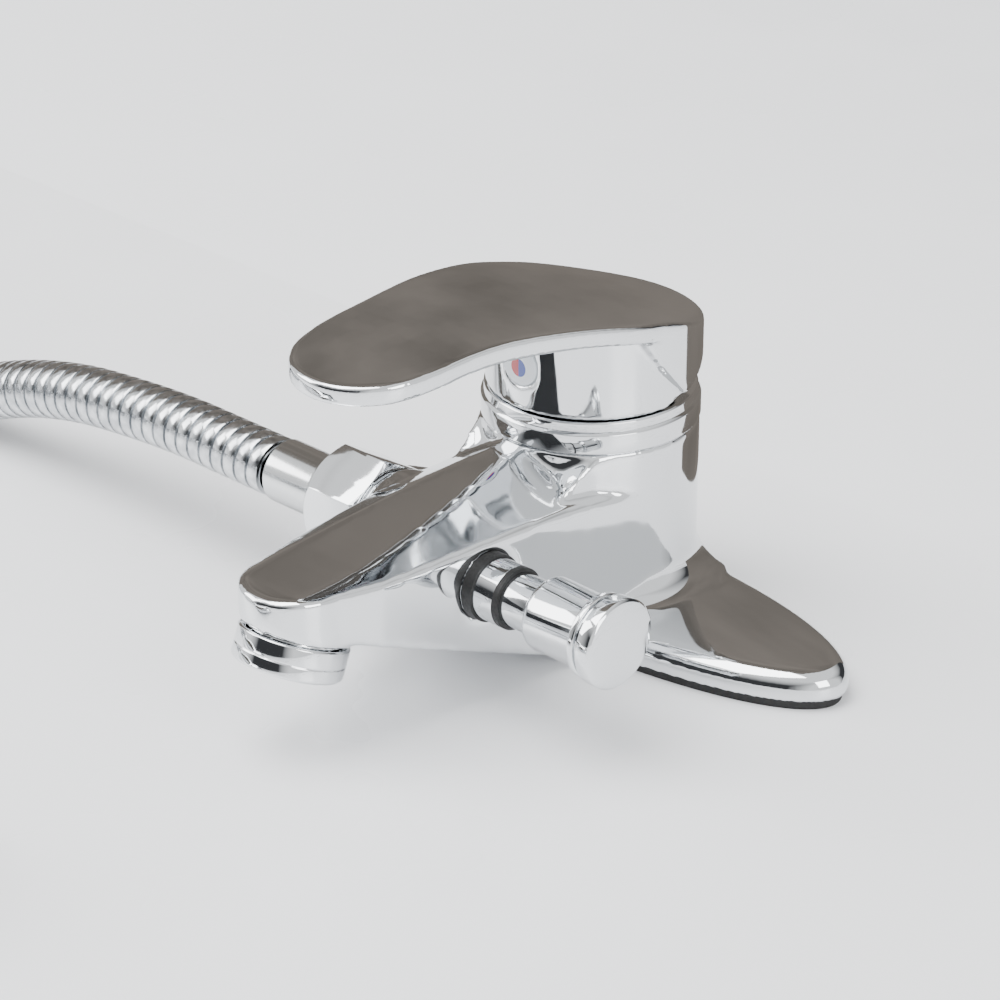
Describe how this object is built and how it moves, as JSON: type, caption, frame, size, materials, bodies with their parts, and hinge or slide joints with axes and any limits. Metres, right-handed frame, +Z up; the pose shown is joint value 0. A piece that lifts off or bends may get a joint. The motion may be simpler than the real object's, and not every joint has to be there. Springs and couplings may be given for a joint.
{
  "type": "basin mixer with hand shower",
  "caption": "Chromed single-lever deck basin mixer on a long oval base, with a pull diverter, a ribbed metal shower hose and a plain hand shower.",
  "frame": {"origin": "the column's axis in the deck plane, on the underside of the base gasket", "axes": "+Z up from the deck, +X to the right of someone at the basin, -Y along the spout"},
  "size_m": [0.4273, 0.257, 0.1362],
  "materials": {
    "chrome": "polished",
    "brass": "machined",
    "steel": "satin",
    "black_rubber": "matte",
    "ceramic": "lapped",
    "grey_plastic": "moulded",
    "marker": "gloss"
  },
  "bodies": {
    "mixer": {"body_casting": "chrome", "bonnet_ring": "chrome", "diverter_bushing": "chrome", "aerator_housing": "chrome", "hose_nut": "chrome", "hose_ferrule": "chrome", "hose_run": "chrome", "hose_coil": "chrome", "hose_tail": "chrome", "far_ferrule": "chrome", "cone_nut": "chrome", "handset_shell": "chrome", "cartridge_nut": "brass", "outlet_nipple": "brass", "hot_inlet_shank": "brass", "cold_inlet_shank": "brass", "spray_plate_screw": "steel", "hot_clamp_plate": "steel", "cold_clamp_plate": "steel", "hot_locknut": "steel", "cold_locknut": "steel", "base_gasket": "black_rubber", "port_seals": "black_rubber", "aerator_washer": "black_rubber", "mouth_seal_ring": "black_rubber", "stem_wiper_ring": "black_rubber", "hose_washer": "black_rubber", "far_washer": "black_rubber", "hot_rubber_washer": "black_rubber", "cold_rubber_washer": "black_rubber", "nozzle_mat": "black_rubber", "fixed_ceramic_disc": "ceramic", "cartridge_base": "grey_plastic", "cartridge_housing": "grey_plastic", "aerator_insert": "grey_plastic", "non_return_valve": "grey_plastic", "spray_plate": "grey_plastic"},
    "carriage": {"carriage": "grey_plastic", "pivot_pin": "steel"},
    "lever": {"handle": "chrome", "spindle": "steel", "grub_screw": "steel", "indicator_plug": "marker"},
    "disc": {"moving_ceramic_disc": "ceramic", "disc_carrier": "grey_plastic"},
    "diverter": {"diverter_stem": "chrome", "poppet_seal": "black_rubber", "poppet_screw": "brass", "diverter_knob": "chrome", "diverter_knob_cap": "chrome"}
  },
  "joints": [
    {"name": "lever_turn", "type": "hinge", "parent": "mixer", "child": "carriage", "pos_m": [0, 0, 0.05], "axis": [0, 0, 1], "range_deg": [-45, 45]},
    {"name": "lever_lift", "type": "hinge", "parent": "carriage", "child": "lever", "pos_m": [0, 0, 0.05], "axis": [-1, 0, 0], "range_deg": [0, 18]},
    {"name": "disc_slide", "type": "slide", "parent": "carriage", "child": "disc", "axis": [0, -1, 0], "range_m": [0, 0.0054]},
    {"name": "diverter_push", "type": "slide", "parent": "mixer", "child": "diverter", "axis": [-1, 0, 0], "range_m": [0, 0.0058]}
  ],
  "couplings": [
    {"joint": "disc_slide", "follows": "lever_lift", "m_per_rad": 0.016722}
  ]
}
